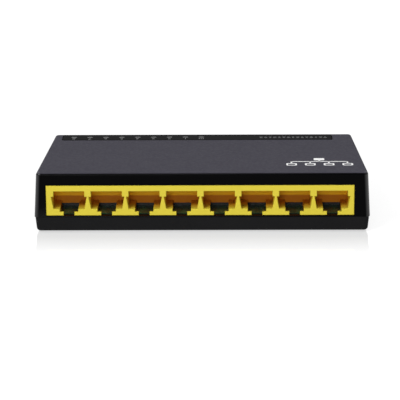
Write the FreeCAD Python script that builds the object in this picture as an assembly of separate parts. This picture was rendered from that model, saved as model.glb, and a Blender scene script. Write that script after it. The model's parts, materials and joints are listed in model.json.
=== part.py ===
import FreeCAD, Part
import math
import os

from FreeCAD import Vector

# Desktop network switch: two plastic shells round one circuit board, eight sockets in one housing.
# Millimetres, +Z up. The port face looks towards -Y, the indicator side is +Y, feet stand at Z = 0.

# ---- Case ---------------------------------------------------------------------------------------
CASE_W = 125.0             # across the seam, at the port face
CASE_D = 58.0              # port face to indicator face, at the seam
CASE_H = 22.5              # underside to top, without the feet
PLAN_TAPER = 3.65          # how far each side comes in from port face to indicator face
SIDE_DRAFT = math.tan(math.radians(2.9))
END_DRAFT = math.tan(math.radians(1.0))
BASE_DRAFT = math.tan(math.radians(5.0))
SEAM_UP = 5.6              # seam between the shells, above the underside
SEAM_STEP = 0.25           # the lower shell stands in by this at the seam
WALL = 1.8
ROOF = 2.0
FLOOR = 1.8
CORNER_R = 1.5
TOP_EDGE_R = 0.9
BASE_EDGE_R = 1.3
LIP_T = 1.0                # locating lip of the lower shell, inside the upper one
LIP_UP = 1.2
LIP_ROOT = 1.5
LIP_GAP = 0.2

# ---- Feet, fasteners, underside -----------------------------------------------------------------
FOOT_R = 5.0
FOOT_PROUD = 0.5
FOOT_SUNK = 0.8
FOOT_FROM_SIDE = 10.5
FOOT_FROM_END = 9.0
FOOT_EDGE_R = 0.25
POST_R = 3.0
POST_Y = 4.5
CASE_POST_X = 44.0
BOARD_POST_X = 24.0
SCREW_R = 1.5
SCREW_GAP = 0.05           # round the threaded part of a screw
SCREW_HOLE_GAP = 0.3       # round a screw where it passes through
HEAD_R = 2.7
HEAD_H = 1.7
HEAD_SUNK = 2.0            # case screw seats above the underside
HEAD_GAP = 0.2
CASE_SCREW_LONG = 12.0
BOARD_SCREW_LONG = 4.2
BORE_SPARE = 0.6           # pilot bores are deeper than their screws
DRIVE_L = 2.8              # cross slot: length, width, depth
DRIVE_W = 0.7
DRIVE_DEEP = 0.9
KEYHOLE_X = 33.0
KEYHOLE_Y = -9.0
KEYHOLE_R = 3.6
KEYHOLE_SLOT_R = 2.1
KEYHOLE_RUN = 7.0
VENT_W = 2.2
VENT_L = 12.0
VENT_PITCH = 5.0
VENT_COUNT = 7
VENT_Y = 12.0

# ---- Sockets ------------------------------------------------------------------------------------
PORTS = 8
PORT_PITCH = 13.97
BLOCK_H = 11.5
BLOCK_D = 16.0
BLOCK_END_FIRST = 2.7      # wall outside the first plug cavity
BLOCK_END_LAST = 2.35      # wall outside the last one
BLOCK_SHIFT = -0.55        # the row of sockets stands off the case's centre line
BLOCK_SUNK = 0.2           # its face lies behind the port face
BLOCK_GAP = 0.15           # between the block and the case round it
BLOCK_UP = 6.2             # underside of the case to underside of the block
BAR_H = 2.2                # bar over the cavities
WEB_T = 2.47               # web between two cavities, at its foot
WEB_NECK = 0.67            # the webs taper upwards to this, under their heads
PLUG_W = PORT_PITCH - WEB_T
PLUG_WIDE = PORT_PITCH - WEB_NECK
PLUG_H = 6.85
PLUG_DEEP = 12.5
HEAD_DROP = 2.1            # the webs' square heads under the bar
LATCH_W = 6.87
LATCH_H = 1.1
TAB_W = 4.03               # gap between the ears of the base, at the face
EAR_DEEP = 1.0             # behind the ears the latch space opens down to the board and back to the insert
FACE_BEVEL = 0.15          # on the edges of the block's face
BACK_WALL = 1.0
CARRIER_SIDE = 0.6         # the insert stands in by this each side of the cavity
CARRIER_W = PLUG_W - 2 * CARRIER_SIDE
CARRIER_GAP = 0.1
TONGUE_T = 0.75            # with the wires that lie on it
TONGUE_START = 4.5         # from the block's face
CARRIER_T = 1.9
PEG_R = 1.2
PEG_DEEP = 10.0            # pegs under the first and last web, from the block's face
RIB_T = 1.2                # ribs under the roof that hold the block down
RIB_L = 8.0
RIB_DEEP = 4.0

# ---- Contact wires ------------------------------------------------------------------------------
WIRES = 8
WIRE_PITCH = 1.02
WIRE_W = 0.45
WIRE_T = 0.3
KNUCKLE_R = 0.25
KNUCKLE_GAP = 0.05
KNUCKLE_DROP = 0.2         # knuckle centre below the tongue
WIRE_REACH = 6.4
WIRE_SLOPE = 11.0          # degrees below level at rest
TAIL_BELOW = 0.8           # tails end this far under the board

# ---- Board and what it carries ------------------------------------------------------------------
BOARD_T = 1.6
BOARD_GAP = 0.35           # board edge to the lip
HOLE_GAP = 0.15            # round a pin in the board
TRANSFORMERS = 4
TRANSFORMER = (25.4, 9.4, 5.6)
TRANSFORMER_PITCH = 27.4
TRANSFORMER_BACK = 2.4     # behind the socket block
TRANSFORMER_LEADS = 12
PACKAGE_BEVEL = 0.3
PACKAGE_UP = 0.2           # leaded packages stand this far above the board
CHIP = (20.0, 14.0, 2.4)
CHIP_AT = (-6.0, 12.5)
CHIP_LEADS_X = 20
CHIP_LEADS_Y = 14
LEAD = (0.35, 1.3, 0.3)    # width, run, thickness
LEAD_UP = 1.0              # where a lead leaves its package, above the board
CRYSTAL = (11.2, 4.7, 3.5)
CRYSTAL_AT = (13.5, 6.5)
CRYSTAL_ROUND = 0.45       # corner radius over the can's width
CAPACITOR_R = 3.15
CAPACITOR_H = 7.2
CAPACITOR_EDGE_R = 0.4
CAPACITORS_AT = ((27.5, 21.0), (20.5, 21.0), (27.5, 13.0), (36.0, 21.0))
INDUCTOR = (7.0, 7.0, 4.0)
INDUCTOR_AT = (18.5, 13.5)
REGULATOR = (6.5, 3.6, 1.7)
REGULATOR_AT = (36.0, 13.5)
RESISTOR = (2.0, 1.25, 0.55)
RESISTORS = 10
RESISTOR_AT = (-36.0, 14.5)
RESISTOR_PITCH = 3.4

# ---- Indicators ---------------------------------------------------------------------------------
LIGHTS = 9
LIGHT_PITCH = 6.225
LIGHT_FIRST_X = -50.5
LIGHT_FROM_EDGE = 3.9      # pipe centres to the strip's far edge
LIGHT_CHIP = (1.6, 1.0, 0.7)
PIPE_R = 1.2
PIPE_GAP = 0.1
COMB_T = 1.4
COMB_W = 1.6
COMB_UP = 6.5              # comb above the board
COMB_END = 3.0             # comb past its first and last pipe
LEG_R = 0.8
STRIP_X = (-55.0, 50.4)
STRIP_D = 8.1
STRIP_FROM_EDGE = 1.1      # from the top's far edge, before rounding
STRIP_T = 1.1
STRIP_PROUD = 0.1
STRIP_EDGE = 0.25
STRIP_GAP = 0.1
STRIP_LEDGE = 1.2
STRIP_CORNER_R = 0.8

# ---- Power socket, 5.5 mm plug on a 2.1 mm pin --------------------------------------------------
POWER_BODY = (13.2, 9.0, 11.0)
POWER_Y = 13.5
POWER_UP = 6.5             # axis above the board
POWER_SUNK = 0.55          # collar's face behind the side wall's outer face
POWER_COLLAR_R = 3.9
POWER_COLLAR_GAP = 0.25
POWER_BORE_R = 3.1
POWER_BORE_DEEP = 10.0
POWER_PIN_R = 1.0
POWER_PIN_ROOT_R = 1.3     # the pin where it is moulded into the body
POWER_PIN_BACK = 0.8       # pin tip behind the collar's face
POWER_PIN_HEAD_R = 1.6
POWER_PIN_HEAD_T = 1.0
POWER_PIN_OVERLAP = 0.5    # the pin's three lengths run this far into each other
POWER_LEAF_W = 2.4
POWER_LEAF_T = 0.3
POWER_LEAF_TIP = 0.07      # least gap from the leaf's tip to the end of its slot
POWER_LEAF_SLOPE = 9.0     # degrees above level at rest
POWER_LEAF_DROP = 3.9      # leaf pivot below the axis
POWER_SLOT_W = 3.2
POWER_SLOT_DEEP = 4.6      # slot floor below the axis
POWER_SLOT_END = 0.5       # slot stops short of the collar
POWER_LUG_T = 0.6
POWER_LEAF_START = 0.3     # leaf pivot, in front of the bore's end

# ---- Levels and faces worked out from the sizes above -------------------------------------------
BASE_Z = FOOT_PROUD
SEAM_Z = BASE_Z + SEAM_UP
TOP_Z = BASE_Z + CASE_H
FLOOR_Z = BASE_Z + FLOOR
ROOF_Z = TOP_Z - ROOF
BLOCK_Z = BASE_Z + BLOCK_UP
BLOCK_TOP = BLOCK_Z + BLOCK_H
BOARD_TOP = BLOCK_Z
BOARD_Z = BOARD_TOP - BOARD_T
BLOCK_Y = -CASE_D / 2 + BLOCK_SUNK
BLOCK_BACK = BLOCK_Y + BLOCK_D
HALF_ROW = (PORTS - 1) * PORT_PITCH / 2 + PLUG_W / 2
BLOCK_X0 = BLOCK_SHIFT - HALF_ROW - BLOCK_END_FIRST
BLOCK_X1 = BLOCK_SHIFT + HALF_ROW + BLOCK_END_LAST
CEILING_Z = BLOCK_TOP - BAR_H
SHELF_Z = CEILING_Z - PLUG_H
LATCH_Z = SHELF_Z - LATCH_H
TONGUE_Z = CEILING_Z - TONGUE_T
CARRIER_Y = BLOCK_Y + PLUG_DEEP + BACK_WALL
KNUCKLE_Y = BLOCK_Y + TONGUE_START - WIRE_T / 2
KNUCKLE_Z = TONGUE_Z - KNUCKLE_DROP
BOARD_INSET = WALL + LIP_GAP + LIP_T + BOARD_GAP
UPPER_DRAFT = (SIDE_DRAFT, END_DRAFT)
LOWER_DRAFT = (BASE_DRAFT, BASE_DRAFT)
UPRIGHT = (0.0, 0.0)
STRIP_Y1 = CASE_D / 2 - END_DRAFT * (TOP_Z - SEAM_Z) - STRIP_FROM_EDGE
STRIP_Y0 = STRIP_Y1 - STRIP_D
LIGHT_Y = STRIP_Y1 - LIGHT_FROM_EDGE
POWER_Z = BOARD_TOP + POWER_UP
SIDE_TAPER = PLAN_TAPER / CASE_D


def side_x(y, z, inset, draft):
    """Half width of the case at a depth y and a height z, less an inset measured square to the side."""
    lean = draft[0] * abs(z - SEAM_Z)
    return CASE_W / 2 - SIDE_TAPER * (y + CASE_D / 2) - inset * math.hypot(1, SIDE_TAPER) - lean


def corners(z, inset, draft):
    """The four corners of the case's plan at a height, an inset inside its outer faces."""
    end = CASE_D / 2 - inset - draft[1] * abs(z - SEAM_Z)
    near = side_x(-end, z, inset, draft)
    far = side_x(end, z, inset, draft)
    return [Vector(-near, -end, z), Vector(near, -end, z), Vector(far, end, z), Vector(-far, end, z)]


def frustum(z0, z1, inset, draft, radius):
    """A tapering block with the case's plan, its four upright edges rounded."""
    low = corners(z0, inset, draft)
    high = corners(z1, inset, draft)
    rings = [low[::-1], high]
    for i in range(4):
        j = (i + 1) % 4
        rings.append([low[i], low[j], high[j], high[i]])
    faces = [Part.Face(Part.makePolygon(ring + ring[:1])) for ring in rings]
    shell = Part.makeShell(faces)
    shell.sewShape()
    solid = Part.Solid(shell)
    upright = [e for e in solid.Edges if abs(e.Vertexes[0].Z - e.Vertexes[1].Z) > 0.01]
    return solid.makeFillet(radius, upright) if radius > 0 else solid


def edges_at(solid, z):
    return [e for e in solid.Edges if all(abs(v.Z - z) < 1e-5 for v in e.Vertexes)]


def box(x0, x1, y0, y1, z0, z1):
    return Part.makeBox(x1 - x0, y1 - y0, z1 - z0, Vector(x0, y0, z0))


def block_on(size, centre, z):
    """A box of the given size that stands on height z, centred in plan."""
    x, y = centre
    return box(x - size[0] / 2, x + size[0] / 2, y - size[1] / 2, y + size[1] / 2, z, z + size[2])


def rod(radius, x, y, z0, z1):
    return Part.makeCylinder(radius, z1 - z0, Vector(x, y, z0))


def rod_x(radius, x0, x1, y, z):
    return Part.makeCylinder(radius, x1 - x0, Vector(x0, y, z), Vector(1, 0, 0))


def prism_x(points, x0, x1):
    """A profile of (y, z) points carried along X."""
    ring = [Vector(x0, y, z) for y, z in points]
    return Part.Face(Part.makePolygon(ring + ring[:1])).extrude(Vector(x1 - x0, 0, 0))


def prism_y(points, y0, y1):
    """A profile of (x, z) points carried along Y."""
    ring = [Vector(x, y0, z) for x, z in points]
    return Part.Face(Part.makePolygon(ring + ring[:1])).extrude(Vector(0, y1 - y0, 0))


def join(solids):
    return solids[0].multiFuse(solids[1:]).removeSplitter()


def moved(shape, x=0.0, y=0.0, z=0.0):
    copy = shape.copy()
    copy.translate(Vector(x, y, z))
    return copy


def spread(count, pitch):
    """Evenly spaced places about zero."""
    return [(i - (count - 1) / 2) * pitch for i in range(count)]


def write(name, *solids):
    shape = solids[0] if len(solids) == 1 else Part.makeCompound(list(solids))
    shape.exportStep("parts/" + name + ".step")


PORT_X = [BLOCK_SHIFT + x for x in spread(PORTS, PORT_PITCH)]
LIGHT_X = [LIGHT_FIRST_X + i * LIGHT_PITCH for i in range(LIGHTS)]
WEB_X = [x + PORT_PITCH / 2 for x in PORT_X[:-1]]
PEG_X = [WEB_X[0], WEB_X[-1]]
CASE_POSTS = [-CASE_POST_X, CASE_POST_X]
BOARD_POSTS = [-BOARD_POST_X, BOARD_POST_X]
FOOT_Y = CASE_D / 2 - FOOT_FROM_END
FEET = [(sx * (side_x(y, BASE_Z, 0, LOWER_DRAFT) - FOOT_FROM_SIDE), y)
        for y in (-FOOT_Y, FOOT_Y) for sx in (-1, 1)]
TAIL_Y = CARRIER_Y + CARRIER_T
POWER_FACE = side_x(POWER_Y, POWER_Z, POWER_SUNK, UPPER_DRAFT)
POWER_X1 = side_x(POWER_Y + POWER_BODY[1] / 2, SEAM_Z, BOARD_INSET, UPRIGHT)
POWER_X0 = POWER_X1 - POWER_BODY[0]
POWER_BORE_END = POWER_FACE - POWER_BORE_DEEP
LEAF_X = POWER_BORE_END + POWER_LEAF_START
LEAF_Z = POWER_Z - POWER_LEAF_DROP
LEAF_L = POWER_X1 - POWER_SLOT_END - LEAF_X - POWER_LEAF_TIP


def upper_walls():
    """The upper shell's outer block, hollowed to its walls and roof."""
    outer = frustum(SEAM_Z, TOP_Z, 0, UPPER_DRAFT, CORNER_R)
    outer = outer.makeFillet(TOP_EDGE_R, edges_at(outer, TOP_Z))
    hollow = frustum(SEAM_Z, ROOF_Z, WALL, UPPER_DRAFT, CORNER_R / 3)
    return outer.cut(hollow)


def case_post(x):
    return rod(POST_R, x, POST_Y, BOARD_TOP, ROOF_Z + ROOF / 2)


def hold_down_rib(x):
    y = BLOCK_Y + RIB_DEEP
    return box(x - RIB_T / 2, x + RIB_T / 2, y, y + RIB_L, BLOCK_TOP, ROOF_Z + ROOF / 2)


def strip_plan(gap, z0, z1):
    """A block over the indicator strip, larger all round by a gap, with rounded corners."""
    plan = box(STRIP_X[0] - gap, STRIP_X[1] + gap, STRIP_Y0 - gap, STRIP_Y1 + gap, z0, z1)
    upright = [e for e in plan.Edges if abs(e.Vertexes[0].Z - e.Vertexes[1].Z) > 0.01]
    return plan.makeFillet(STRIP_CORNER_R, upright)


def top_shell():
    shell = upper_walls()
    shell = join([shell] + [case_post(x) for x in CASE_POSTS] + [hold_down_rib(x) for x in WEB_X[::2]])
    seat = TOP_Z + STRIP_PROUD - STRIP_T
    cuts = [strip_plan(STRIP_GAP, seat, TOP_Z + 1), strip_plan(-STRIP_LEDGE, ROOF_Z - 1, seat)]
    face = -CASE_D / 2
    cuts.append(box(BLOCK_X0 - BLOCK_GAP, BLOCK_X1 + BLOCK_GAP, face - 1, face + 2 * WALL,
                    BLOCK_Z - BLOCK_GAP, BLOCK_TOP + BLOCK_GAP))
    cuts.append(rod_x(POWER_COLLAR_R + POWER_COLLAR_GAP, POWER_X1, CASE_W, POWER_Y, POWER_Z))
    bore_top = BASE_Z + HEAD_SUNK + CASE_SCREW_LONG + BORE_SPARE
    cuts += [rod(SCREW_R + SCREW_GAP, x, POST_Y, BOARD_TOP - 1, bore_top) for x in CASE_POSTS]
    return shell.cut(cuts)


def tray():
    """The lower shell's floor and walls."""
    outer = frustum(BASE_Z, SEAM_Z, SEAM_STEP, LOWER_DRAFT, CORNER_R)
    outer = outer.makeFillet(BASE_EDGE_R, edges_at(outer, BASE_Z))
    hollow = frustum(FLOOR_Z, SEAM_Z, SEAM_STEP + WALL, LOWER_DRAFT, CORNER_R / 3)
    return outer.cut(hollow)


def lip():
    """The ring that locates the upper shell, cut away under the socket block."""
    low = SEAM_Z - LIP_ROOT
    high = SEAM_Z + LIP_UP
    inset = WALL + LIP_GAP
    ring = frustum(low, high, inset, UPRIGHT, CORNER_R / 2)
    ring = ring.cut(frustum(low, high, inset + LIP_T, UPRIGHT, CORNER_R / 4))
    doorway = box(BLOCK_X0 - BLOCK_GAP, BLOCK_X1 + BLOCK_GAP, -CASE_D, 0, BLOCK_Z - BLOCK_GAP, high + 1)
    return ring.cut(doorway)


def keyhole(x):
    """A hanging hole in the floor: a round mouth that runs into a slot."""
    end = KEYHOLE_Y + KEYHOLE_RUN
    mouth = rod(KEYHOLE_R, x, KEYHOLE_Y, BASE_Z - 1, FLOOR_Z + 1)
    slot = box(x - KEYHOLE_SLOT_R, x + KEYHOLE_SLOT_R, KEYHOLE_Y, end, BASE_Z - 1, FLOOR_Z + 1)
    return join([mouth, slot, rod(KEYHOLE_SLOT_R, x, end, BASE_Z - 1, FLOOR_Z + 1)])


def vent(x):
    """A round-ended slot through the floor."""
    half = VENT_L / 2 - VENT_W / 2
    ends = [rod(VENT_W / 2, x, VENT_Y + s * half, BASE_Z - 1, FLOOR_Z + 1) for s in (-1, 1)]
    slot = box(x - VENT_W / 2, x + VENT_W / 2, VENT_Y - half, VENT_Y + half, BASE_Z - 1, FLOOR_Z + 1)
    return join(ends + [slot])


def bottom_shell():
    posts = [rod(POST_R, x, POST_Y, BASE_Z + FLOOR / 2, BOARD_Z) for x in CASE_POSTS + BOARD_POSTS]
    shell = join([tray(), lip()] + posts)
    under = BASE_Z - 1
    cuts = [rod(FOOT_R, x, y, under, BASE_Z + FOOT_SUNK) for x, y in FEET]
    cuts += [rod(HEAD_R + HEAD_GAP, x, POST_Y, under, BASE_Z + HEAD_SUNK) for x in CASE_POSTS]
    cuts += [rod(SCREW_R + SCREW_HOLE_GAP, x, POST_Y, under, BOARD_Z + 1) for x in CASE_POSTS]
    pilot = BOARD_TOP - BOARD_SCREW_LONG - BORE_SPARE / 2
    cuts += [rod(SCREW_R + SCREW_GAP, x, POST_Y, pilot, BOARD_Z + 1) for x in BOARD_POSTS]
    cuts += [keyhole(x) for x in (-KEYHOLE_X, KEYHOLE_X)]
    cuts += [vent(x + CHIP_AT[0]) for x in spread(VENT_COUNT, VENT_PITCH)]
    return shell.cut(cuts)


def foot(x, y):
    pad = rod(FOOT_R, x, y, 0, BASE_Z + FOOT_SUNK)
    return pad.makeFillet(FOOT_EDGE_R, edges_at(pad, 0))


def screw(x, y, seat, length, up):
    """A cross-slot screw with its head's seat at a height; up is 1 where it points upwards, else -1."""
    head_end = seat - up * HEAD_H
    head = rod(HEAD_R, x, y, min(seat, head_end), max(seat, head_end))
    head = head.makeChamfer(HEAD_H / 4, edges_at(head, head_end))
    tip = seat + up * length
    shank = rod(SCREW_R, x, y, min(seat, tip), max(seat, tip))
    shank = shank.makeChamfer(SCREW_R / 3, edges_at(shank, tip))
    solid = join([head, shank])
    low, high = sorted((head_end, head_end + up * DRIVE_DEEP))
    for half_x, half_y in ((DRIVE_L / 2, DRIVE_W / 2), (DRIVE_W / 2, DRIVE_L / 2)):
        solid = solid.cut(box(x - half_x, x + half_x, y - half_y, y + half_y, low, high))
    return solid


def port_cavity(x):
    """Everything cut from the socket block for one port: plug, latch and tab spaces, rear pocket."""
    face = BLOCK_Y
    plug = box(x - PLUG_W / 2, x + PLUG_W / 2, face - 1, face + PLUG_DEEP, SHELF_Z, CEILING_Z)
    under_head = CEILING_Z - HEAD_DROP
    flanks = prism_y([(x - PLUG_W / 2, SHELF_Z), (x + PLUG_W / 2, SHELF_Z),
                      (x + PLUG_WIDE / 2, under_head), (x - PLUG_WIDE / 2, under_head)],
                     face - 1, face + PLUG_DEEP)
    latch = box(x - LATCH_W / 2, x + LATCH_W / 2, face - 1, face + PLUG_DEEP, LATCH_Z, SHELF_Z + 1)
    tab = box(x - TAB_W / 2, x + TAB_W / 2, face - 1, face + PLUG_DEEP, BLOCK_Z - 1, LATCH_Z + 1)
    well = box(x - LATCH_W / 2, x + LATCH_W / 2, face + EAR_DEEP, CARRIER_Y + 1, BLOCK_Z - 1, LATCH_Z)
    half = CARRIER_W / 2 + CARRIER_GAP
    window = box(x - half, x + half, face + PLUG_DEEP - 1, BLOCK_BACK + 1, TONGUE_Z - CARRIER_GAP, CEILING_Z)
    pocket = box(x - half, x + half, CARRIER_Y, BLOCK_BACK + 1, BLOCK_Z - 1, CEILING_Z)
    return join([plug, flanks, latch, tab, well, window, pocket])


def jack_housing():
    block = box(BLOCK_X0, BLOCK_X1, BLOCK_Y, BLOCK_BACK, BLOCK_Z, BLOCK_TOP)
    block = block.cut([port_cavity(x) for x in PORT_X])
    rim = [e for e in block.Edges if all(abs(v.Y - BLOCK_Y) < 1e-5 for v in e.Vertexes)]
    block = block.makeChamfer(FACE_BEVEL, rim)
    pegs = [rod(PEG_R, x, BLOCK_Y + PEG_DEEP, BOARD_Z, BLOCK_Z + 1) for x in PEG_X]
    return join([block] + pegs)


def contact_carrier(x):
    """The insert that holds one port's wires: a tongue under the cavity's ceiling and a rear wall."""
    half = CARRIER_W / 2
    high = CEILING_Z - WIRE_T
    tongue = box(x - half, x + half, BLOCK_Y + TONGUE_START, TAIL_Y, TONGUE_Z, high)
    return join([tongue, box(x - half, x + half, CARRIER_Y, TAIL_Y, BOARD_TOP, high)])


def wire_tail(x):
    """The fixed part of one wire: from the board up, along the tongue, down to a knuckle."""
    x0 = x - WIRE_W / 2
    x1 = x + WIRE_W / 2
    front = BLOCK_Y + TONGUE_START
    leg = box(x0, x1, TAIL_Y, TAIL_Y + WIRE_T, BOARD_Z - TAIL_BELOW, CEILING_Z)
    run = box(x0, x1, front - WIRE_T, TAIL_Y, CEILING_Z - WIRE_T, CEILING_Z)
    drop = box(x0, x1, front - WIRE_T, front, KNUCKLE_Z, CEILING_Z)
    return join([leg, run, drop, rod_x(KNUCKLE_R, x0, x1, KNUCKLE_Y, KNUCKLE_Z)])


def wire_spring(x):
    """The moving part of one wire: it bears on the knuckle and slopes down into the cavity."""
    x0 = x - WIRE_W / 2
    x1 = x + WIRE_W / 2
    half = WIRE_T / 2
    wire = box(x0, x1, KNUCKLE_Y, KNUCKLE_Y + WIRE_REACH, KNUCKLE_Z - half, KNUCKLE_Z + half)
    wire.rotate(Vector(x, KNUCKLE_Y, KNUCKLE_Z), Vector(1, 0, 0), -WIRE_SLOPE)
    return wire.cut(rod_x(KNUCKLE_R + KNUCKLE_GAP, x0 - 1, x1 + 1, KNUCKLE_Y, KNUCKLE_Z))


def circuit_board():
    board = frustum(BOARD_Z, BOARD_TOP, BOARD_INSET, UPRIGHT, CORNER_R / 2)
    low = BOARD_Z - 1
    high = BOARD_TOP + 1
    cuts = [rod(SCREW_R + SCREW_HOLE_GAP, x, POST_Y, low, high) for x in CASE_POSTS + BOARD_POSTS]
    cuts += [rod(PEG_R + HOLE_GAP, x, BLOCK_Y + PEG_DEEP, low, high) for x in PEG_X]
    hole_r = math.hypot(WIRE_W, WIRE_T) / 2 + HOLE_GAP / 2
    cuts += [rod(hole_r, x + w, TAIL_Y + WIRE_T / 2, low, high)
             for x in PORT_X for w in spread(WIRES, WIRE_PITCH)]
    half = POWER_LEAF_W / 2 + HOLE_GAP
    lug = POWER_LUG_T / 2
    for x0, x1 in ((POWER_X0 - POWER_PIN_HEAD_T, POWER_X0), (LEAF_X - lug, LEAF_X + lug)):
        cuts.append(box(x0 - HOLE_GAP, x1 + HOLE_GAP, POWER_Y - half, POWER_Y + half, low, high))
    return board.cut(cuts)


def lead(x, y, turn):
    """One bent lead that leaves its package at (x, y) towards +Y, turned about Z by an angle."""
    width, run, thick = LEAD
    profile = [(0, LEAD_UP), (0, LEAD_UP - thick), (run / 3, LEAD_UP - thick), (run / 3, 0),
               (run, 0), (run, thick), (2 * run / 3, thick), (2 * run / 3, LEAD_UP)]
    solid = prism_x(profile, -width / 2, width / 2)
    solid.rotate(Vector(0, 0, 0), Vector(0, 0, 1), turn)
    return moved(solid, x, y, BOARD_TOP)


def package(size, centre, stand_off):
    """A moulded chip package that stands a little above the board, its top edges bevelled."""
    x, y, z = size
    body = block_on((x, y, z - stand_off), centre, BOARD_TOP + stand_off)
    return body.makeChamfer(PACKAGE_BEVEL, edges_at(body, BOARD_TOP + z))


def side_leads(size, centre, count, pitch):
    """Two rows of leads, along the package's two long sides."""
    x, y = centre
    half = size[1] / 2
    row = [lead(x + s, y + half, 0) for s in spread(count, pitch)]
    return row + [lead(x + s, y - half, 180) for s in spread(count, pitch)]


def end_leads(size, centre, count, pitch):
    """Two rows of leads, along the package's two short sides."""
    x, y = centre
    half = size[0] / 2
    row = [lead(x + half, y + s, -90) for s in spread(count, pitch)]
    return row + [lead(x - half, y + s, 90) for s in spread(count, pitch)]


TRANSFORMER_Y = BLOCK_BACK + TRANSFORMER_BACK + TRANSFORMER[1] / 2
TRANSFORMER_AT = [(BLOCK_SHIFT + x, TRANSFORMER_Y) for x in spread(TRANSFORMERS, TRANSFORMER_PITCH)]


def capacitor(x, y):
    can = rod(CAPACITOR_R, x, y, BOARD_TOP, BOARD_TOP + CAPACITOR_H)
    return can.makeFillet(CAPACITOR_EDGE_R, edges_at(can, BOARD_TOP + CAPACITOR_H))


def crystal():
    can = block_on(CRYSTAL, CRYSTAL_AT, BOARD_TOP)
    upright = [e for e in can.Edges if abs(e.Vertexes[0].Z - e.Vertexes[1].Z) > 0.01]
    return can.makeFillet(CRYSTAL[1] * CRYSTAL_ROUND, upright)


def light_guide():
    """The light pipes on one comb, which stands on the board on two legs."""
    seat = TOP_Z + STRIP_PROUD - STRIP_T
    chip_top = BOARD_TOP + LIGHT_CHIP[2]
    comb_z = BOARD_TOP + COMB_UP
    pipes = [rod(PIPE_R, x, LIGHT_Y, chip_top + PIPE_GAP, seat) for x in LIGHT_X]
    x0 = LIGHT_X[0] - COMB_END
    x1 = LIGHT_X[-1] + COMB_END
    comb = box(x0, x1, LIGHT_Y - COMB_W / 2, LIGHT_Y + COMB_W / 2, comb_z, comb_z + COMB_T)
    legs = [rod(LEG_R, x, LIGHT_Y, BOARD_TOP, comb_z + COMB_T / 2) for x in (x0 + LEG_R, x1 - LEG_R)]
    return join(pipes + [comb] + legs)


def led_window():
    window = strip_plan(0, TOP_Z + STRIP_PROUD - STRIP_T, TOP_Z + STRIP_PROUD)
    return window.makeChamfer(STRIP_EDGE, edges_at(window, TOP_Z + STRIP_PROUD))


def power_jack_body():
    width, high = POWER_BODY[1], POWER_BODY[2]
    body = box(POWER_X0, POWER_X1, POWER_Y - width / 2, POWER_Y + width / 2, BOARD_TOP, BOARD_TOP + high)
    body = join([body, rod_x(POWER_COLLAR_R, POWER_X1 - 1, POWER_FACE, POWER_Y, POWER_Z)])
    half = POWER_SLOT_W / 2
    cuts = [rod_x(POWER_BORE_R, POWER_BORE_END, POWER_FACE + 1, POWER_Y, POWER_Z)]
    cuts.append(rod_x(POWER_PIN_ROOT_R, POWER_X0 - 1, POWER_BORE_END + 1, POWER_Y, POWER_Z))
    cuts.append(box(LEAF_X - POWER_LUG_T / 2, POWER_X1 - POWER_SLOT_END, POWER_Y - half, POWER_Y + half,
                    POWER_Z - POWER_SLOT_DEEP, POWER_Z - POWER_BORE_R / 2))
    cuts.append(box(LEAF_X - POWER_LUG_T / 2, LEAF_X + POWER_LUG_T, POWER_Y - half, POWER_Y + half,
                    BOARD_TOP - 1, POWER_Z - POWER_BORE_R / 2))
    return body.cut(cuts)


def power_jack_pin():
    """The centre pin, with the plate behind the body that carries it down to the board."""
    tip = POWER_FACE - POWER_PIN_BACK
    pin = rod_x(POWER_PIN_R, POWER_BORE_END - POWER_PIN_OVERLAP, tip, POWER_Y, POWER_Z)
    pin = pin.makeFillet(POWER_PIN_R / 2, [e for e in pin.Edges if abs(e.BoundBox.XMin - tip) < 1e-5])
    root = rod_x(POWER_PIN_ROOT_R, POWER_X0 - POWER_PIN_OVERLAP, POWER_BORE_END, POWER_Y, POWER_Z)
    half = POWER_LEAF_W / 2
    plate = box(POWER_X0 - POWER_PIN_HEAD_T, POWER_X0, POWER_Y - half, POWER_Y + half,
                BOARD_Z - TAIL_BELOW, POWER_Z + POWER_PIN_HEAD_R)
    return join([pin, root, plate])


def power_jack_lug():
    """The fixed contact under the bore; the leaf bears on its knuckle."""
    half = POWER_LEAF_W / 2
    thick = POWER_LUG_T / 2
    post = box(LEAF_X - thick, LEAF_X, POWER_Y - half, POWER_Y + half, BOARD_Z - TAIL_BELOW, LEAF_Z)
    start = Vector(LEAF_X, POWER_Y - half, LEAF_Z)
    knuckle = Part.makeCylinder(KNUCKLE_R, POWER_LEAF_W, start, Vector(0, 1, 0))
    return join([post, knuckle])


def power_jack_leaf():
    half = POWER_LEAF_W / 2
    thick = POWER_LEAF_T / 2
    leaf = box(LEAF_X, LEAF_X + LEAF_L, POWER_Y - half, POWER_Y + half, LEAF_Z - thick, LEAF_Z + thick)
    leaf.rotate(Vector(LEAF_X, POWER_Y, LEAF_Z), Vector(0, 1, 0), -POWER_LEAF_SLOPE)
    start = Vector(LEAF_X, POWER_Y - half - 1, LEAF_Z)
    eye = Part.makeCylinder(KNUCKLE_R + KNUCKLE_GAP, POWER_LEAF_W + 2, start, Vector(0, 1, 0))
    return leaf.cut(eye)


def write_case():
    write("top_shell", top_shell())
    write("bottom_shell", bottom_shell())
    write("led_window", led_window())
    for i, (x, y) in enumerate(FEET):
        write("foot_%d" % (i + 1), foot(x, y))
    write("case_screws", *[screw(x, POST_Y, BASE_Z + HEAD_SUNK, CASE_SCREW_LONG, 1) for x in CASE_POSTS])
    write("board_screws", *[screw(x, POST_Y, BOARD_TOP, BOARD_SCREW_LONG, -1) for x in BOARD_POSTS])


def write_sockets():
    write("jack_housing", jack_housing())
    for i, x in enumerate(PORT_X):
        places = [x + w for w in spread(WIRES, WIRE_PITCH)]
        write("contact_carrier_%d" % (i + 1), contact_carrier(x))
        write("contact_tails_%d" % (i + 1), *[wire_tail(p) for p in places])
        write("contact_springs_%d" % (i + 1), *[wire_spring(p) for p in places])


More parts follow.
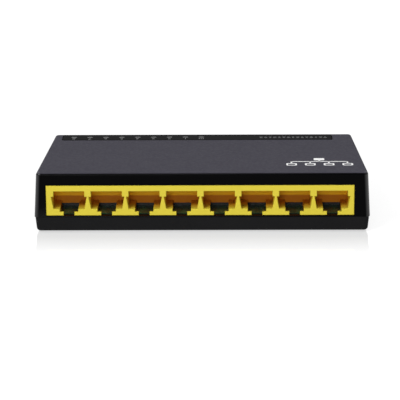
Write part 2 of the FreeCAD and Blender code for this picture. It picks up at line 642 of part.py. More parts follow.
def write_board():
    write("circuit_board", circuit_board())
    write("switch_chip", package(CHIP, CHIP_AT, PACKAGE_UP))
    leads = side_leads(CHIP, CHIP_AT, CHIP_LEADS_X, CHIP[0] / (CHIP_LEADS_X + 1))
    leads += end_leads(CHIP, CHIP_AT, CHIP_LEADS_Y, CHIP[1] / (CHIP_LEADS_Y + 1))
    write("switch_chip_leads", *leads)
    leads = []
    for i, place in enumerate(TRANSFORMER_AT):
        write("transformer_%d" % (i + 1), package(TRANSFORMER, place, PACKAGE_UP))
        leads += side_leads(TRANSFORMER, place, TRANSFORMER_LEADS, TRANSFORMER[0] / (TRANSFORMER_LEADS + 1))
    write("transformer_leads", *leads)
    write("crystal", crystal())
    write("capacitors", *[capacitor(x, y) for x, y in CAPACITORS_AT])
    write("inductor", package(INDUCTOR, INDUCTOR_AT, 0.0))
    write("regulator", package(REGULATOR, REGULATOR_AT, 0.0))
    row = RESISTORS // 2
    spots = [(RESISTOR_AT[0] + x, RESISTOR_AT[1] + y) for y in spread(2, RESISTOR_PITCH)
             for x in spread(row, RESISTOR_PITCH)]
    write("resistors", *[block_on(RESISTOR, spot, BOARD_TOP) for spot in spots])


def write_indicators():
    write("light_guide", light_guide())
    write("indicator_leds", *[block_on(LIGHT_CHIP, (x, LIGHT_Y), BOARD_TOP) for x in LIGHT_X])


def write_power():
    write("power_jack_body", power_jack_body())
    write("power_jack_pin", power_jack_pin())
    write("power_jack_lug", power_jack_lug())
    write("power_jack_leaf", power_jack_leaf())


os.makedirs("parts", exist_ok=True)
write_case()
write_sockets()
write_board()
write_indicators()
write_power()
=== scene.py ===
# %% [markdown]
# # A desktop network switch
# The switch is a flat two-part plastic case with eight yellow sockets in one long side and a smoked
# indicator strip along the other. Its working parts come from the CAD model as a fixed frame, so this
# file is about finish: the camera, the light, the surface of each plastic and metal, and the thin
# prints and lenses that are too slight to be parts of the CAD model.

# %% Load the frame
import json
import math

import bpy
import numpy as np
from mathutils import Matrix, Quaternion, Vector


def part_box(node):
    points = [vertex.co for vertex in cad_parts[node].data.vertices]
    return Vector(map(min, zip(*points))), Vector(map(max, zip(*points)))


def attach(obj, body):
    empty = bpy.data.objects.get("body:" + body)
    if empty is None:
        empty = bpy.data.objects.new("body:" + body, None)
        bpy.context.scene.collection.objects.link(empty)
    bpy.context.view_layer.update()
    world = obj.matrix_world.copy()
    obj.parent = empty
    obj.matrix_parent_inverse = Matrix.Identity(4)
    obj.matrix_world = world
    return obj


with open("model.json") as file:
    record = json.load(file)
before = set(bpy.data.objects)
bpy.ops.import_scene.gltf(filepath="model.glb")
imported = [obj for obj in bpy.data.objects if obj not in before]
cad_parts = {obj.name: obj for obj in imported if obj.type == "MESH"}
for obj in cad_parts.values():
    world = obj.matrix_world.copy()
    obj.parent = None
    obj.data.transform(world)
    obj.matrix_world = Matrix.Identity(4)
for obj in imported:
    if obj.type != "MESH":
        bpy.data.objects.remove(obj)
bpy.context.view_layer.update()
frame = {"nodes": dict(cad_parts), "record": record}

NODES = frame["nodes"]
MM = 0.001

# %% [markdown]
# The camera comes first, because every later choice is judged through it. A long lens far away keeps
# the port face almost free of perspective, and an elevation of about sixteen degrees shows the top as
# a shallow strip. The camera's place is worked out from a target, two angles and a distance, and a
# third of a degree of roll tips the level lines very slightly, as a hand-set tripod does.

# %% Camera sizes
CAMERA_TARGET = Vector((-1.09 * MM, 0.0, 4.29 * MM))
CAMERA_TURN = math.radians(-0.68)
CAMERA_PITCH = math.radians(16.13)
CAMERA_ROLL = math.radians(0.335)
CAMERA_DISTANCE = 0.8775
CAMERA_LENS = 205.7
SENSOR_WIDTH = 36.0
CLIP_START = 0.01


def look_direction(turn, pitch):
    """Unit vector from camera to target: turn is about Z from +Y, pitch is downwards."""
    level = math.cos(pitch)
    return Vector((math.sin(turn) * level, math.cos(turn) * level, -math.sin(pitch)))


print("view direction:", tuple(round(v, 4) for v in look_direction(CAMERA_TURN, CAMERA_PITCH)))

# %% Place the camera
camera_data = bpy.data.cameras.new("camera")
camera_data.lens = CAMERA_LENS
camera_data.sensor_width = SENSOR_WIDTH
camera_data.clip_start = CLIP_START
camera = bpy.data.objects.new("camera", camera_data)
view_line = look_direction(CAMERA_TURN, CAMERA_PITCH)
camera.location = CAMERA_TARGET - view_line * CAMERA_DISTANCE
level_camera = view_line.to_track_quat("-Z", "Y")
camera.rotation_euler = (level_camera @ Quaternion((0, 0, 1), -CAMERA_ROLL)).to_euler()
bpy.context.scene.collection.objects.link(camera)
bpy.context.scene.camera = camera
bpy.context.scene.view_settings.view_transform = "Standard"
print("camera at", tuple(round(v, 4) for v in camera.location))

# %% [markdown]
# Product shots of black plastic need a pale floor and large soft lights. A black gloss face shows
# nothing but what it reflects, so the lights are few and wide: one above and to the left, which throws
# the short shadows to the right of each socket wall, one broad panel overhead, a weak fill beside the
# camera that reaches the back of the sockets, and a card behind for the table to mirror. A hard spot
# would give sharper edges, but it would also burn a bright streak into every glossy wall.

# %% Lights
LIGHTS = {
    # name: (place, size, watts)
    "key_left": ((-0.50, -0.70, 0.80), 0.30, 7.0),
    "overhead": ((0.00, -0.15, 1.10), 0.70, 4.0),
    "front_fill": ((-0.12, -1.00, 0.33), 0.25, 2.6),
    "back_card": ((0.00, 1.60, 0.50), 2.00, 4.7),
}


def add_light(name, place, size, watts):
    """A square soft panel that faces the object."""
    data = bpy.data.lights.new(name, "AREA")
    data.energy = watts
    data.size = size
    light = bpy.data.objects.new(name, data)
    light.location = place
    light.rotation_euler = (-Vector(place)).to_track_quat("-Z", "Y").to_euler()
    bpy.context.scene.collection.objects.link(light)


for light_name, (light_place, light_size, light_watts) in LIGHTS.items():
    add_light(light_name, light_place, light_size, light_watts)
print("lights:", ", ".join(LIGHTS))

# %% World
WORLD_STRENGTH = 0.50
world = bpy.data.worlds.new("studio")
world.use_nodes = True
world.node_tree.nodes["Background"].inputs["Color"].default_value = (1.0, 1.0, 1.0, 1.0)
world.node_tree.nodes["Background"].inputs["Strength"].default_value = WORLD_STRENGTH
bpy.context.scene.world = world
print("world strength:", WORLD_STRENGTH)

# %% [markdown]
# The switch stands on a table. New pieces and the table are meshes worked out as arrays, so one helper
# turns an array of points and a list of faces into an object at the origin. The table itself needs only
# four points: all that makes it a light table is in its finish, further down.

# %% Floor
FLOOR_HALF = 3.0


def mesh_object(name, points, faces):
    """An object at the origin from an array of points and a list of faces, each an array of indices."""
    mesh = bpy.data.meshes.new(name)
    mesh.from_pydata(np.asarray(points, float).tolist(), [], [list(face) for face in faces])
    mesh.validate()
    mesh.update()
    piece = bpy.data.objects.new(name, mesh)
    bpy.context.scene.collection.objects.link(piece)
    return piece


floor = mesh_object("floor", [(-FLOOR_HALF, -FLOOR_HALF, 0), (FLOOR_HALF, -FLOOR_HALF, 0),
                              (FLOOR_HALF, FLOOR_HALF, 0), (-FLOOR_HALF, FLOOR_HALF, 0)], [(0, 1, 2, 3)])
print("floor:", 2 * FLOOR_HALF, "m square")

# %% [markdown]
# Every finish here is a Principled shader with a little life in its colour, roughness and bump, all
# from noise on Object coordinates, so the pattern sits still on the piece. One helper starts the
# material and hands back its nodes; each finish then has its own function. Noise rarely leaves the middle
# of its range, so where it drives a number that middle is stretched over the whole change.

# %% Material helper
NOISE_MIDDLE = (0.3, 0.7)


class Finish:
    """A material's node tree, with short ways to add noise, ramps and bumps."""

    def __init__(self, name):
        self.material = bpy.data.materials.new(name)
        self.material.use_nodes = True
        self.nodes = self.material.node_tree.nodes
        self.links = self.material.node_tree.links
        self.shader = self.nodes["Principled BSDF"]
        self.place = self.nodes.new("ShaderNodeTexCoord").outputs["Object"]

    def set(self, **values):
        """Plain values on the shader's own sockets; a name's underscores stand for spaces."""
        for socket, value in values.items():
            self.shader.inputs[socket.replace("_", " ")].default_value = value
        return self

    def noise(self, scale, detail=3.0, stretch=None):
        """Noise between 0 and 1; scale is in cells per metre, stretch squeezes it along an axis."""
        node = self.nodes.new("ShaderNodeTexNoise")
        node.inputs["Scale"].default_value = scale
        node.inputs["Detail"].default_value = detail
        source = self.place
        if stretch:
            mapping = self.nodes.new("ShaderNodeMapping")
            mapping.inputs["Scale"].default_value = stretch
            self.links.new(source, mapping.inputs["Vector"])
            source = mapping.outputs["Vector"]
        self.links.new(source, node.inputs["Vector"])
        return node.outputs["Fac"]

    def span(self, value, low, high, start=0.0, end=1.0):
        """The value, moved from the range start..end to low..high and held inside it."""
        node = self.nodes.new("ShaderNodeMapRange")
        self.links.new(value, node.inputs["Value"])
        for socket, number in (("From Min", start), ("From Max", end), ("To Min", low), ("To Max", high)):
            node.inputs[socket].default_value = number
        return node.outputs["Result"]

    def vary(self, noise, low, high):
        """A number between low and high that follows the middle of a noise."""
        return self.span(noise, low, high, *NOISE_MIDDLE)

    def blend(self, factor, first, second):
        """A colour between two colours; each is a colour or a socket."""
        node = self.nodes.new("ShaderNodeMix")
        node.data_type = "RGBA"
        self.links.new(factor, node.inputs["Factor"])
        for socket, colour in ((node.inputs[6], first), (node.inputs[7], second)):
            if isinstance(colour, tuple):
                socket.default_value = (*colour, 1.0)
            else:
                self.links.new(colour, socket)
        return node.outputs[2]

    def math(self, operation, *values):
        """One step of arithmetic; each value is a number or a socket."""
        node = self.nodes.new("ShaderNodeMath")
        node.operation = operation
        for socket, value in zip(node.inputs, values):
            if isinstance(value, float):
                socket.default_value = value
            else:
                self.links.new(value, socket)
        return node.outputs[0]

    def along(self, axis):
        """The place along one axis, in metres."""
        node = self.nodes.new("ShaderNodeSeparateXYZ")
        self.links.new(self.place, node.inputs[0])
        return node.outputs[axis]

    def colour(self, socket):
        """The base colour follows a socket."""
        self.links.new(socket, self.shader.inputs["Base Color"])
        return self

    def roughness(self, socket):
        """The roughness follows a socket."""
        self.links.new(socket, self.shader.inputs["Roughness"])
        return self

    def bump(self, value, depth):
        """A bump whose full height is depth, in metres."""
        node = self.nodes.new("ShaderNodeBump")
        node.inputs["Strength"].default_value = 1.0
        node.inputs["Distance"].default_value = depth
        self.links.new(value, node.inputs["Height"])
        self.links.new(node.outputs["Normal"], self.shader.inputs["Normal"])
        return self


print("noise is read from", NOISE_MIDDLE[0], "to", NOISE_MIDDLE[1])

# %% Moulded plastic
ROUGH_SWING = 0.05


def moulded(name, dark, light, rough, specular, grain, depth):
    """A moulded plastic: two near colours in a slow mottle, and a fine grain of so many cells per metre."""
    finish = Finish(name).set(Specular_IOR_Level=specular)
    finish.colour(finish.blend(finish.noise(90.0), dark, light))
    finish.roughness(finish.vary(finish.noise(400.0), rough - ROUGH_SWING, rough + ROUGH_SWING))
    finish.bump(finish.noise(grain, 2.0), depth)
    return finish.material


print("a moulding's roughness swings by", ROUGH_SWING, "either way")

# %% [markdown]
# The upper shell is one moulding with two finishes: the mould's roof was spark-eroded, so the top is
# dark grey with a fine grain, and its walls were polished, so the skirt is glossy black. One material
# does both. A mask on height, which is 1 on the flat top and 0 from the rounding down, blends colour,
# roughness and grain. Another mask brings the polish up on the upright corners by the sockets, where
# hands rub it: it is the distance from the middle plus what the sides lean in by, so it follows the edge.

# %% Upper shell
SHELL_LOW, SHELL_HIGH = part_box("top_shell")
TOP_Z = SHELL_HIGH[2]
FRONT_Y = SHELL_LOW[1]
SIDE_LEAN = math.tan(math.radians(2.9))
CORNER_X = SHELL_HIGH[0] + SIDE_LEAN * SHELL_LOW[2]
GRAIN_START = 0.35 * MM    # the grain begins this far below the top and is whole at the next height
GRAIN_WHOLE = 0.10 * MM
RUB_WIDTH = 1.6 * MM       # how far the rubbed polish reaches from the edge over the face
RUB_WHOLE = 1.0 * MM       # and how far round the side: whole up to here, gone at the next place
RUB_GONE = 3.0 * MM
SKIRT_SPECULAR = 0.03
SKIRT_GRAIN = 0.05         # the grain's depth on the walls, over its depth on the top


def case_upper():
    """Grain on the top, gloss on the walls and polish on the two upright corners by the sockets."""
    finish = Finish("case_upper").set(Specular_IOR_Level=SKIRT_SPECULAR)
    top = finish.span(finish.along("Z"), 0.0, 1.0, TOP_Z - GRAIN_START, TOP_Z - GRAIN_WHOLE)
    mottle = finish.blend(finish.noise(140.0, 4.0), (0.040, 0.038, 0.050), (0.047, 0.045, 0.058))
    finish.colour(finish.blend(top, (0.0006, 0.0006, 0.0008), mottle))
    skirt_rough = finish.vary(finish.noise(60.0, 2.0), 0.14, 0.22)
    top_rough = finish.vary(finish.noise(900.0, 2.0), 0.52, 0.66)
    middle = finish.math("ABSOLUTE", finish.along("X"))
    upright = finish.math("MULTIPLY_ADD", finish.along("Z"), SIDE_LEAN, middle)
    edge = finish.span(upright, 0.0, 1.0, CORNER_X - RUB_WIDTH, CORNER_X)
    near = finish.span(finish.along("Y"), 1.0, 0.0, FRONT_Y + RUB_WHOLE, FRONT_Y + RUB_GONE)
    rubbed = finish.span(finish.math("MULTIPLY", edge, near), SKIRT_SPECULAR, 1.0)
    finish.links.new(rubbed, finish.shader.inputs["Specular IOR Level"])
    node = finish.nodes.new("ShaderNodeMix")
    finish.links.new(top, node.inputs[0])
    finish.links.new(skirt_rough, node.inputs[2])
    finish.links.new(top_rough, node.inputs[3])
    finish.roughness(node.outputs[0])
    grain = finish.math("MULTIPLY", finish.noise(4200.0, 2.0), finish.span(top, SKIRT_GRAIN, 1.0))
    finish.bump(grain, 0.04 * MM)
    return finish.material


print("top at", round(TOP_Z / MM, 2), "mm; corners", round(CORNER_X / MM, 2), "mm from the middle")

# %% [markdown]
# The lower shell is a plain moulding with a fine matt grain all over. The indicator strip is a separate
# window of smoked acrylic, polished on the face. Clear plastic over a black seat would be the true way
# to make it, but so little light comes back through the smoke that a near-black gloss looks the same
# and renders faster, with a slow ripple to break up what it reflects.

# %% Lower shell and strip


def case_lower():
    """The same moulding as other black parts, a little duller than the insert."""
    dark, light = (0.0055, 0.0055, 0.0058), (0.0080, 0.0080, 0.0084)
    return moulded("case_lower", dark, light, 0.50, 0.05, 3800.0, 0.02 * MM)


def strip_smoke():
    """Smoked acrylic with the polish of a moulded window and a slow ripple in its thickness."""
    finish = Finish("strip_smoke").set(Specular_IOR_Level=0.002)
    finish.colour(finish.blend(finish.noise(120.0), (0.004, 0.004, 0.0045), (0.006, 0.006, 0.0066)))
    finish.roughness(finish.vary(finish.noise(300.0), 0.08, 0.16))
    finish.bump(finish.noise(80.0, 1.0), 0.01 * MM)
    return finish.material


strip_size = np.subtract(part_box("led_window")[1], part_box("led_window")[0]) / MM
print("strip, mm:", np.round(strip_size, 2))

# %% [markdown]
# The socket block is glass-filled nylon dyed yellow. Light that has gone through a thin web or has
# bounced from wall to wall comes out orange, because the dye takes the green away a little with each
# pass. Scattering inside the plastic would show this but is slow to render and is lost on export, so
# the base colour paints this light and shade: yellow at the face, then with depth painted bounce light
# in amber under the roof and painted shade in brown below.

# %% Socket nylon
SOCKET_FACE_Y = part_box("jack_housing")[0][1]
# These numbers place the painted light and shade inside the sockets: painted bounce light above AMBER_Z,
# painted shade below it, both growing with depth behind the face.
AMBER_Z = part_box("jack_housing")[1][2] - 7.2 * MM
AMBER_EDGE = 0.3 * MM      # half the height over which brown turns to amber
PAINTED_SHADE_START = 0.4 * MM      # behind the face: the yellow begins to turn, and has turned at the next depth
PAINTED_SHADE_WHOLE = 8.0 * MM


def socket_nylon():
    """Yellow skin at the face; deeper in, painted bounce light above AMBER_Z and darker painted shade below
    it.
    """
    finish = Finish("socket_nylon").set(Specular_IOR_Level=0.14)
    skin = finish.blend(finish.noise(160.0, 4.0), (0.49, 0.405, 0.030), (0.53, 0.435, 0.038))
    # Amber is painted bounce light under the roof, brown is painted shade lower in the sockets, and the
    # blend by depth paints both in behind the face.
    amber_painted_bounce = finish.blend(finish.noise(220.0, 4.0), (0.88, 0.44, 0.003), (0.94, 0.50, 0.005))
    brown_painted_shade = finish.blend(finish.noise(220.0, 4.0), (0.42, 0.13, 0.002), (0.48, 0.16, 0.004))
    high = finish.span(finish.along("Z"), 0.0, 1.0, AMBER_Z - AMBER_EDGE, AMBER_Z + AMBER_EDGE)
    painted_shade_inside = finish.blend(high, brown_painted_shade, amber_painted_bounce)
    start, whole = SOCKET_FACE_Y + PAINTED_SHADE_START, SOCKET_FACE_Y + PAINTED_SHADE_WHOLE
    finish.colour(finish.blend(finish.span(finish.along("Y"), 0.0, 1.0, start, whole), skin, painted_shade_inside))
    finish.roughness(finish.vary(finish.noise(1200.0), 0.38, 0.52))
    finish.bump(finish.noise(2600.0, 2.0), 0.012 * MM)
    return finish.material


print("socket face at", round(SOCKET_FACE_Y / MM, 2), "mm; amber above", round(AMBER_Z / MM, 2), "mm")

# %% [markdown]
# The contact wires are drawn, so their fine marks run along the wire; the same goes for pins, cans and
# screws, each in its own direction. One function makes them all: it squeezes a noise along one axis and
# uses it for roughness and bump together, so that the duller lines also stand higher. The circuit board
# is lacquer over copper tracks, and the light guide is clear acrylic, the one finish that lets light in.

# %% Plated metals


def plated(name, first, second, rough, brush):
    """A plated metal: faint drawing lines along the part and patchy polish."""
    finish = Finish(name).set(Metallic=1.0)
    finish.colour(finish.blend(finish.noise(500.0), first, second))
    lines = finish.noise(1500.0, 2.0, brush)
    finish.roughness(finish.vary(lines, rough - 0.08, rough + 0.1))
    finish.bump(lines, 0.004 * MM)
    return finish.material


print("wires in one socket:", len(NODES["contact_springs_1"].data.vertices), "points")

# %% Board and light guide
TRACK_EDGE = (0.52, 0.56)  # noise below this is bare board, above it a track


def solder_mask():
    """Green lacquer over copper: tracks run under it as slightly lighter, slightly raised bands."""
    finish = Finish("solder_mask").set(Specular_IOR_Level=0.4)
    tracks = finish.span(finish.noise(420.0, 1.0, (1.0, 0.25, 1.0)), 0.0, 1.0, *TRACK_EDGE)
    finish.colour(finish.blend(tracks, (0.006, 0.030, 0.012), (0.010, 0.055, 0.020)))
    finish.roughness(finish.vary(finish.noise(700.0), 0.25, 0.38))
    finish.bump(tracks, 0.03 * MM)
    return finish.material


def clear_guide():
    """Clear acrylic, very slightly green, as thick acrylic is."""
    finish = Finish("clear_guide").set(Transmission_Weight=0.85, IOR=1.49)
    finish.colour(finish.blend(finish.noise(200.0), (0.82, 0.86, 0.86), (0.90, 0.93, 0.93)))
    finish.roughness(finish.vary(finish.noise(600.0), 0.04, 0.12))
    return finish.material


board_size = np.subtract(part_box("circuit_board")[1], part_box("circuit_board")[0]) / MM
print("board, mm:", np.round(board_size, 2))

# %% [markdown]
# The CAD model names a material slot for each of its nodes. So a finish is made once for each slot, and
# each node takes the one its slot names. Only the material changes, and the node's mesh is left alone.

# %% A finish for each slot
FINISHES = {
    "upper_case": case_upper(),
    "lower_case": case_lower(),
    "smoked_strip": strip_smoke(),
    "light_guide": clear_guide(),
    "led_chip": moulded("led_chip", (0.70, 0.66, 0.45), (0.80, 0.76, 0.52),
                        0.35, 0.5, 2000.0, 0.01 * MM),
    "socket_yellow": socket_nylon(),
    "black_insert": moulded("black_insert", (0.010, 0.010, 0.010), (0.016, 0.016, 0.016),
                            0.4, 0.3, 2400.0, 0.01 * MM),
    "gold_contact": plated("gold_contact", (0.72, 0.48, 0.16), (0.84, 0.58, 0.22), 0.38, (1.0, 0.1, 1.0)),
    "board_green": solder_mask(),
    "chip_black": moulded("chip_black", (0.012, 0.012, 0.013), (0.020, 0.020, 0.021),
                          0.55, 0.3, 3000.0, 0.02 * MM),
    "tin_lead": plated("tin_lead", (0.62, 0.62, 0.62), (0.74, 0.74, 0.73), 0.30, (1.0, 1.0, 0.2)),
    "can_metal": plated("can_metal", (0.70, 0.70, 0.70), (0.80, 0.80, 0.80), 0.28, (1.0, 1.0, 0.1)),
    "foot_rubber": moulded("foot_rubber", (0.014, 0.014, 0.014), (0.022, 0.022, 0.022),
                           0.8, 0.2, 1800.0, 0.04 * MM),
    "screw_steel": plated("screw_steel", (0.42, 0.42, 0.44), (0.56, 0.56, 0.58), 0.32, (0.15, 1.0, 1.0)),
}
print("finishes:", len(FINISHES))

# %% Dress the frame's nodes


def dress(piece, material):
    """Give a piece one material, whatever slots it came with."""
    piece.data.materials.clear()
    piece.data.materials.append(material)


for entry in frame["record"]["subparts"]:
    dress(NODES[entry["node"]], FINISHES[entry["material_slot"]])
print("nodes dressed:", len(NODES))

# %% [markdown]
# The floor could be plain white paper, but a light table is nearer to a catalogue shot: it glows, so
# almost no shadow falls on it, and its polish gives the mirror image under the case. The polish runs out
# a few centimetres in front of the case, and the glow makes up for it there, so that the table looks
# equally white all over.

# %% Light table
FLOOR_IOR = 2.5
POLISH_FROM_Y = -0.034     # the polish is whole up to here and gone at the next place
POLISH_TO_Y = -0.064
POLISH_LEVEL = 0.5
GLOW_POLISHED = 0.58
GLOW_PLAIN = 0.88


def light_table():
    """Both the glow and the polish follow one ramp along Y."""
    finish = Finish("light_table").set(IOR=FLOOR_IOR, Emission_Color=(1.0, 1.0, 1.0, 1.0))
    finish.colour(finish.blend(finish.noise(3.0), (0.24, 0.24, 0.24), (0.26, 0.26, 0.26)))
    finish.roughness(finish.vary(finish.noise(5.0), 0.03, 0.05))
    place = finish.along("Y")
    polish = finish.span(place, 0.0, POLISH_LEVEL, POLISH_TO_Y, POLISH_FROM_Y)
    glow = finish.span(place, GLOW_PLAIN, GLOW_POLISHED, POLISH_TO_Y, POLISH_FROM_Y)
    finish.links.new(polish, finish.shader.inputs["Specular IOR Level"])
    finish.links.new(glow, finish.shader.inputs["Emission Strength"])
    return finish.material


dress(floor, light_table())
print("polish fades over", round((POLISH_FROM_Y - POLISH_TO_Y) / MM), "mm")

# %% [markdown]
# What is printed on the case is a few hundredths of a millimetre thick. It could be painted in the
# material with a mask, but a mask is hard to keep sharp, so each print is a thin plate of its own that
# lies on the plastic. A plate is an outline of points: its caps are the outline at two heights and its
# rim joins them. A rounded rectangle's outline is four quarter circles round four corner centres.

# %% Rounded outline
PRINT_T = 0.03 * MM
PRINT_SINK = 0.01 * MM     # how far the sign and the lenses' rims lie inside the plastic
ARC_STEPS = 6


def rounded_outline(width, height, radius, centre=(0.0, 0.0)):
    """Points of a rounded rectangle: corner centre plus radius times (cos a, sin a), four quarter turns."""
    quarter = np.linspace(0.0, np.pi / 2, ARC_STEPS)
    angles = (np.arange(4)[:, None] * np.pi / 2 + quarter).ravel()
    signs = np.repeat(np.array([(1, 1), (-1, 1), (-1, -1), (1, -1)]), ARC_STEPS, axis=0)
    middles = signs * (np.array([width, height]) / 2 - radius) + np.array(centre)
    return middles + radius * np.column_stack([np.cos(angles), np.sin(angles)])


print("points in an outline:", 4 * ARC_STEPS)

# %% Plates and rings


def plate(outline, low, high):
    """Points and faces of a closed plate: the outline at two heights, two caps, one quad per rim edge."""
    count = len(outline)
    points = np.vstack([np.column_stack([outline, np.full(count, z)]) for z in (low, high)])
    step = np.arange(count)
    after = (step + 1) % count
    rim = np.column_stack([step, after, after + count, step + count])
    return points, [step[::-1], step + count, *rim]


def ring_plate(outer, inner, low, high):
    """Points and faces of a flat ring: two outlines of equal count, quads on both caps and both rims."""
    count = len(outer)
    loops = [(outer, high), (inner, high), (inner, low), (outer, low)]
    points = np.vstack([np.column_stack([loop, np.full(count, z)]) for loop, z in loops])
    step = np.arange(count)
    after = (step + 1) % count
    faces = []
    for k in range(4):
        here, there = k * count, ((k + 1) % 4) * count
        faces.extend(np.column_stack([step + here, after + here, after + there, step + there]))
    return points, faces


def joined(name, shapes):
    """One object from several shapes: face indices move up by the number of points before them."""
    counts = [len(points) for points, _ in shapes]
    bases = np.cumsum([0] + counts[:-1])
    faces = [face + base for base, (_, shape_faces) in zip(bases, shapes) for face in shape_faces]
    return mesh_object(name, np.vstack([points for points, _ in shapes]), faces)


print("print thickness:", round(PRINT_T / MM, 3), "mm")

# %% Ink


def printed(name, colour_low, colour_high):
    """Screen ink: matt, slightly uneven in tone."""
    finish = Finish(name).set(Specular_IOR_Level=0.2)
    finish.colour(finish.blend(finish.noise(900.0), colour_low, colour_high))
    finish.roughness(finish.vary(finish.noise(2500.0), 0.55, 0.75))
    finish.bump(finish.noise(5000.0, 2.0), 0.004 * MM)
    return finish.material


WHITE_INK = printed("white_ink", (0.66, 0.66, 0.66), (0.78, 0.78, 0.78))
GREY_INK = printed("grey_ink", (0.13, 0.13, 0.135), (0.19, 0.19, 0.195))
print("inks:", WHITE_INK.name, GREY_INK.name)

# %% [markdown]
# Near the right of the top the maker printed a mark. A plain sign for a network stands in its place:
# one station over a bus line with four stations under it. It faces someone who sits on the indicator
# side, as the real print does, so its station row is nearer to the ports.

# %% Parts of the sign
SIGN_CENTRE = np.array([44.0, -13.4]) * MM
SIGN_W = 25.0 * MM
SIGN_H = 10.2 * MM
BUS_Y = SIGN_CENTRE[1] + 0.4 * MM
STATIONS = 4
STATION = np.array([4.0, 3.0]) * MM
STATION_R = 0.60 * MM
WINDOW_R = 0.25 * MM
LINE_W = 0.65 * MM
LINE_ROUND = 0.3           # corner radius of a line's end, over its width
BUS_SPAN = SIGN_W - STATION[0]
SIGN_LOW = TOP_Z - PRINT_SINK
SIGN_HIGH = TOP_Z + PRINT_T


def bar_between(start, end, width):
    """Outline of an upright or level bar whose middle line runs from start to end."""
    start, end = np.array(start), np.array(end)
    size = np.abs(end - start) + width
    return rounded_outline(size[0], size[1], width * LINE_ROUND, (start + end) / 2)


def station(centre, solid):
    """One station: a rounded plate, or its outline as a ring one line wide."""
    outer = rounded_outline(STATION[0], STATION[1], STATION_R, centre)
    if solid:
        return plate(outer, SIGN_LOW, SIGN_HIGH)
    inner = rounded_outline(STATION[0] - 2 * LINE_W, STATION[1] - 2 * LINE_W, WINDOW_R, centre)
    return ring_plate(outer, inner, SIGN_LOW, SIGN_HIGH)


print("bus line:", round(BUS_SPAN / MM, 2), "mm long")

# %% Network sign on the top
half_rise = (SIGN_H - STATION[1]) / 2
far_y = SIGN_CENTRE[1] + half_rise
near_y = SIGN_CENTRE[1] - half_rise
sign_parts = [station((SIGN_CENTRE[0], far_y), True)]
sign_bars = [((SIGN_CENTRE[0] - BUS_SPAN / 2, BUS_Y), (SIGN_CENTRE[0] + BUS_SPAN / 2, BUS_Y)),
             ((SIGN_CENTRE[0], BUS_Y), (SIGN_CENTRE[0], far_y - STATION[1] / 2))]
for x in SIGN_CENTRE[0] + np.linspace(-0.5, 0.5, STATIONS) * BUS_SPAN:
    sign_parts.append(station((x, near_y), False))
    sign_bars.append(((x, near_y + STATION[1] / 2), (x, BUS_Y)))
sign_parts += [plate(bar_between(a, b, LINE_W), SIGN_LOW, SIGN_HIGH) for a, b in sign_bars]
network_sign = joined("network_sign", sign_parts)
dress(network_sign, WHITE_INK)
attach(network_sign, "case")
print("network sign faces:", len(network_sign.data.polygons))

# %% [markdown]
# The strip is nearly black until a light comes on behind it. Nine small lenses show where the light
# pipes end, each a crowned bead: its height is a product of two cosines over the lens, so it is
# highest in the middle and runs out at the rim. Each lens has its number beside it, 1 to 8, and the
# ninth has the usual sign for power. Numbers are generic, so they are cut from Blender's own font. The
# fine key to the lights, at the other end of the strip, is drawn as rows of dashes instead of words.

# %% Places along the strip
STRIP_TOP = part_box("led_window")[1][2]
INK_LOW, INK_HIGH = STRIP_TOP - PRINT_T / 2, STRIP_TOP + PRINT_T / 2
LED_LOW, LED_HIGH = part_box("indicator_leds")
LENS_COUNT = 9
LED_W = 1.6 * MM
LENS_X = np.linspace(LED_LOW[0] + LED_W / 2, LED_HIGH[0] - LED_W / 2, LENS_COUNT)
LENS_Y = (LED_LOW[1] + LED_HIGH[1]) / 2
print("lenses every", round((LENS_X[1] - LENS_X[0]) / MM, 3), "mm")

# %% Lenses
LENS_SIZE = np.array([2.5, 1.1]) * MM
LENS_RISE = 0.05 * MM
LENS_GRID = (15, 9)


def lens(name, centre):
    """A bead on a grid: height is rise times cos(pi u / 2) cos(pi v / 2), for u and v from -1 to 1."""
    u, v = (np.linspace(-1.0, 1.0, count) for count in LENS_GRID)
    uu, vv = np.meshgrid(u, v, indexing="ij")
    x = centre[0] + uu * LENS_SIZE[0] / 2 * np.sqrt(1 - vv ** 2 / 4)
    y = centre[1] + vv * LENS_SIZE[1] / 2 * np.sqrt(1 - uu ** 2 / 4)
    z = STRIP_TOP - PRINT_SINK + LENS_RISE * np.cos(uu * np.pi / 2) * np.cos(vv * np.pi / 2)
    top = np.stack([x, y, z], axis=-1).reshape(-1, 3)
    bottom = top.copy()
    bottom[:, 2] = STRIP_TOP - 2 * PRINT_SINK
    rows, cols = uu.shape
    index = np.arange(rows * cols).reshape(rows, cols)
    quads = np.stack([index[:-1, :-1], index[1:, :-1], index[1:, 1:], index[:-1, 1:]], axis=-1)
    quads = quads.reshape(-1, 4)
    edge = np.concatenate([index[:-1, 0], index[-1, :-1], index[:0:-1, -1], index[0, :0:-1]])
    after = np.roll(edge, -1)
    shift = rows * cols
    rim = np.column_stack([edge, edge + shift, after + shift, after])
    return mesh_object(name, np.vstack([top, bottom]), [*quads, *(quads[:, ::-1] + shift), *rim])


def lens_acrylic():
    """Smoky diffuser plastic, polished."""
    finish = Finish("lens_acrylic").set(Specular_IOR_Level=0.3)
    finish.colour(finish.blend(finish.noise(900.0), (0.035, 0.037, 0.035), (0.055, 0.058, 0.055)))
    finish.roughness(finish.vary(finish.noise(1500.0), 0.12, 0.22))
    return finish.material


LENS_FINISH = lens_acrylic()
print("points in a lens:", 2 * LENS_GRID[0] * LENS_GRID[1])

# %% Numerals
NUMBER_H = 1.9 * MM
NUMBER_Y = LENS_Y - 2.2 * MM
FONT_PER_NUMERAL = 1.35    # font size over the height of a numeral


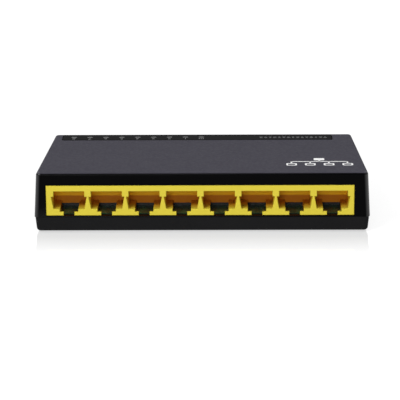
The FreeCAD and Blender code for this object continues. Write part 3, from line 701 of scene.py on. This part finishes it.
def number(name, text, place):
    """A numeral from the built-in font, turned to face the indicator side, as a thin solid mesh."""
    curve = bpy.data.curves.new(name, "FONT")
    curve.body = text
    curve.size = NUMBER_H * FONT_PER_NUMERAL
    curve.align_x = "CENTER"
    curve.align_y = "CENTER"
    curve.extrude = PRINT_T / 2
    source = bpy.data.objects.new(name, curve)
    bpy.context.scene.collection.objects.link(source)
    bpy.context.view_layer.update()
    depsgraph = bpy.context.evaluated_depsgraph_get()
    mesh = bpy.data.meshes.new_from_object(source.evaluated_get(depsgraph))
    bpy.data.objects.remove(source)
    count = len(mesh.vertices)
    points = np.empty(count * 3)
    mesh.vertices.foreach_get("co", points)
    points = points.reshape(-1, 3) * np.array([-1.0, -1.0, 1.0]) + np.array([*place, STRIP_TOP])
    mesh.vertices.foreach_set("co", points.ravel())
    mesh.update()
    piece = bpy.data.objects.new(name, mesh)
    bpy.context.scene.collection.objects.link(piece)
    return piece


print("numerals:", round(NUMBER_H / MM, 2), "mm high")

# %% Power sign
POWER_SIGN_R = 0.85 * MM
POWER_LINE_W = 0.26 * MM
POWER_BAR_L = 1.1 * POWER_SIGN_R
POWER_ARC = (-50.0, 230.0)  # degrees
POWER_ARC_POINTS = 29


def power_sign(name, place):
    """A three-quarter ring, open where a short bar crosses it: its outline is an arc out and an arc back."""
    sweep = np.radians(np.linspace(*POWER_ARC, POWER_ARC_POINTS))
    arc = np.column_stack([np.cos(sweep), np.sin(sweep)])
    half = POWER_LINE_W / 2
    outline = np.vstack([arc * (POWER_SIGN_R + half), arc[::-1] * (POWER_SIGN_R - half)]) + place
    bar = bar_between(place, place - np.array([0.0, POWER_BAR_L]), POWER_LINE_W)
    return joined(name, [plate(outline, INK_LOW, INK_HIGH), plate(bar, INK_LOW, INK_HIGH)])


print("power sign:", round(2 * POWER_SIGN_R / MM, 2), "mm across")

# %% Key to the lights
LEGEND_X = 35.2 * MM
LEGEND_BACK = 0.8 * MM     # the key's middle line, behind the lenses' towards the ports
LEGEND_SPAN = 25.0 * MM
LEGEND_DASHES = 15
LEGEND_ROWS = np.array([-0.55, 0.55]) * MM
DASH_L = 1.0 * MM
DASH_SWING = 0.35 * MM
DASH_W = 0.42 * MM
DASH_R = 0.12 * MM
PHASE_PER_DASH = 2.4
PHASE_PER_ROW = 1.7


def legend(name, centre):
    """Two rows of short dashes: their middles are evenly spaced, and a dash's length follows a sine."""
    shapes = []
    for row, y in enumerate(centre[1] + LEGEND_ROWS):
        for k, x in enumerate(centre[0] + np.linspace(-0.5, 0.5, LEGEND_DASHES) * LEGEND_SPAN):
            length = DASH_L + DASH_SWING * math.sin(PHASE_PER_DASH * k + PHASE_PER_ROW * row)
            shapes.append(plate(rounded_outline(length, DASH_W, DASH_R, (x, y)), INK_LOW, INK_HIGH))
    return joined(name, shapes)


print("dashes:", LEGEND_DASHES * len(LEGEND_ROWS))

# %% Lay them on the strip
for i, x in enumerate(LENS_X):
    port = LENS_COUNT - 1 - i
    bead = lens("led_lens_power" if port == 0 else f"led_lens_{port}", (x, LENS_Y))
    dress(bead, LENS_FINISH)
    spot = np.array([x, NUMBER_Y])
    mark = power_sign("print_power", spot) if port == 0 else number(f"print_{port}", str(port), spot)
    dress(mark, GREY_INK)
    for piece in (bead, mark):
        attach(piece, "case")
key = legend("print_legend", (LEGEND_X, LENS_Y - LEGEND_BACK))
dress(key, GREY_INK)
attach(key, "case")
print("pieces on the strip:", 2 * LENS_COUNT + 1)
